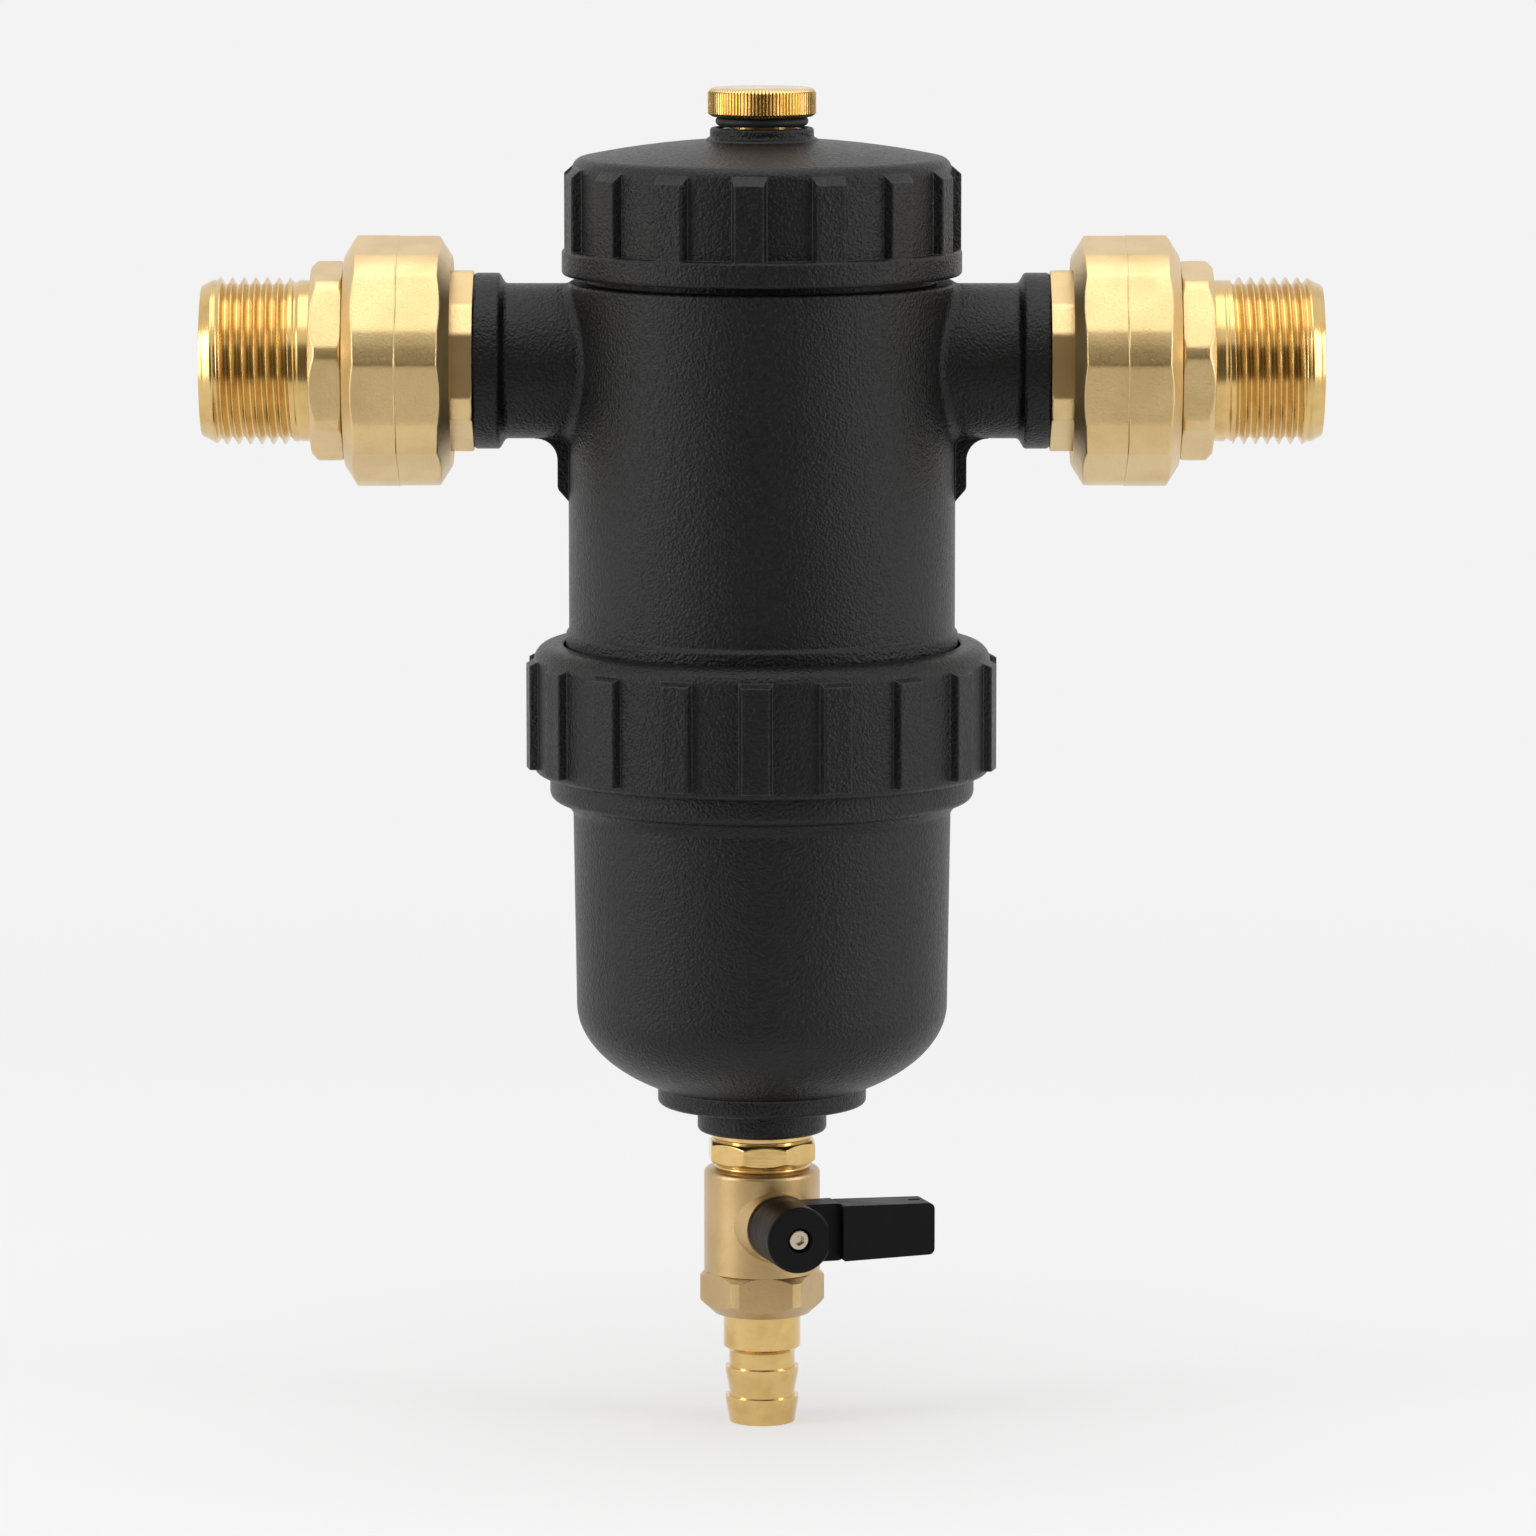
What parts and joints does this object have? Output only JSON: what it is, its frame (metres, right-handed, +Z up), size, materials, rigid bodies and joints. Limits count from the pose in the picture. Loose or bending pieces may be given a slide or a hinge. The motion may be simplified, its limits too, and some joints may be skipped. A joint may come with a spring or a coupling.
{
  "type": "magnetic dirt separator",
  "caption": "In-line magnetic dirt separator: round body between two unions, screw cap with pull-out magnet rod, bowl on a lock ring, drain ball valve and hose tail.",
  "frame": {"origin": "on the vertical axis of the body, level with the foot of the hose tail", "axes": "+Z up along the body's axis, +X along the pipe towards the outlet union, -Y towards the drain lever"},
  "size_m": [0.222, 0.0942, 0.2684],
  "materials": {
    "black_plastic": "fine leather-grain moulding, satin",
    "lever_plastic": "smooth satin moulding",
    "frame_plastic": "plain moulding",
    "forged_brass": "blasted forging with milled flats",
    "turned_brass": "bright turned",
    "black_rubber": "smooth rubber",
    "gasket_fibre": "flat fibre sheet",
    "seat_plastic": "turned fluoropolymer",
    "stainless": "drawn and brushed",
    "nickel": "nickel plate"
  },
  "bodies": {
    "root": {"upper_body": "black_plastic", "element_frame": "frame_plastic", "element_fins": "stainless", "element_clip": "stainless", "bowl_oring": "black_rubber", "inlet_adapter": "forged_brass", "inlet_adapter_oring": "black_rubber", "outlet_adapter": "forged_brass", "outlet_adapter_oring": "black_rubber"},
    "inlet_union": {"inlet_tail": "forged_brass", "inlet_gasket": "gasket_fibre", "inlet_snap_ring": "stainless"},
    "inlet_nut": {"inlet_union_nut": "forged_brass"},
    "outlet_union": {"outlet_tail": "forged_brass", "outlet_gasket": "gasket_fibre", "outlet_snap_ring": "stainless"},
    "outlet_nut": {"outlet_union_nut": "forged_brass"},
    "pocket": {"magnet_pocket": "stainless", "pocket_oring": "black_rubber", "pocket_circlip": "stainless"},
    "cap": {"top_cap": "black_plastic", "cap_oring": "black_rubber"},
    "magnet_rod": {"magnet_knob": "turned_brass", "knob_oring": "black_rubber", "magnet_spindle": "stainless", "ring_magnets": "nickel", "pole_washers": "stainless", "spindle_nut": "stainless"},
    "ring": {"lock_ring": "black_plastic"},
    "bowl_unit": {"bowl": "black_plastic", "drain_adapter": "turned_brass", "adapter_oring": "black_rubber", "drain_valve_body": "forged_brass", "ball_seats": "seat_plastic", "valve_retainer": "forged_brass", "tail_washer": "gasket_fibre", "hose_tail": "turned_brass", "stem_washer": "seat_plastic"},
    "lever_unit": {"drain_lever": "lever_plastic", "lever_screw": "nickel", "valve_stem": "turned_brass", "stem_orings": "black_rubber", "valve_ball": "nickel"}
  },
  "joints": [
    {"name": "inlet_union_part", "type": "slide", "parent": "root", "child": "inlet_union", "axis": [-1, 0, 0], "range_m": [0, 0.00693]},
    {"name": "inlet_nut_turn", "type": "hinge", "parent": "inlet_union", "child": "inlet_nut", "pos_m": [-0.072, 0, 0.2143], "axis": [-1, 0, 0], "range_deg": [0, 1080]},
    {"name": "outlet_union_part", "type": "slide", "parent": "root", "child": "outlet_union", "axis": [1, 0, 0], "range_m": [0, 0.00693]},
    {"name": "outlet_nut_turn", "type": "hinge", "parent": "outlet_union", "child": "outlet_nut", "pos_m": [0.072, 0, 0.2143], "axis": [1, 0, 0], "range_deg": [0, 1080]},
    {"name": "cap_rise", "type": "slide", "parent": "root", "child": "pocket", "axis": [0, 0, 1], "range_m": [0, 0.012]},
    {"name": "cap_turn", "type": "hinge", "parent": "pocket", "child": "cap", "pos_m": [0, 0, 0.243], "axis": [0, 0, 1], "range_deg": [0, 1080]},
    {"name": "magnet_pull", "type": "slide", "parent": "pocket", "child": "magnet_rod", "axis": [0, 0, 1], "range_m": [0, 0.135]},
    {"name": "ring_turn", "type": "hinge", "parent": "root", "child": "ring", "pos_m": [0, 0, 0.1455], "axis": [0, 0, 1], "range_deg": [0, 1080]},
    {"name": "bowl_drop", "type": "slide", "parent": "root", "child": "bowl_unit", "axis": [0, 0, -1], "range_m": [0, 0.012]},
    {"name": "drain_open", "type": "hinge", "parent": "bowl_unit", "child": "lever_unit", "pos_m": [0, 0, 0.0414], "axis": [-0.2924, 0.9563, 0], "range_deg": [0, 90]}
  ],
  "couplings": [
    {"joint": "inlet_nut_turn", "follows": "inlet_union_part", "rad_per_m": 2721.2},
    {"joint": "outlet_nut_turn", "follows": "outlet_union_part", "rad_per_m": 2721.2},
    {"joint": "cap_turn", "follows": "cap_rise", "rad_per_m": 1570.8},
    {"joint": "ring_turn", "follows": "bowl_drop", "rad_per_m": 1570.8}
  ]
}
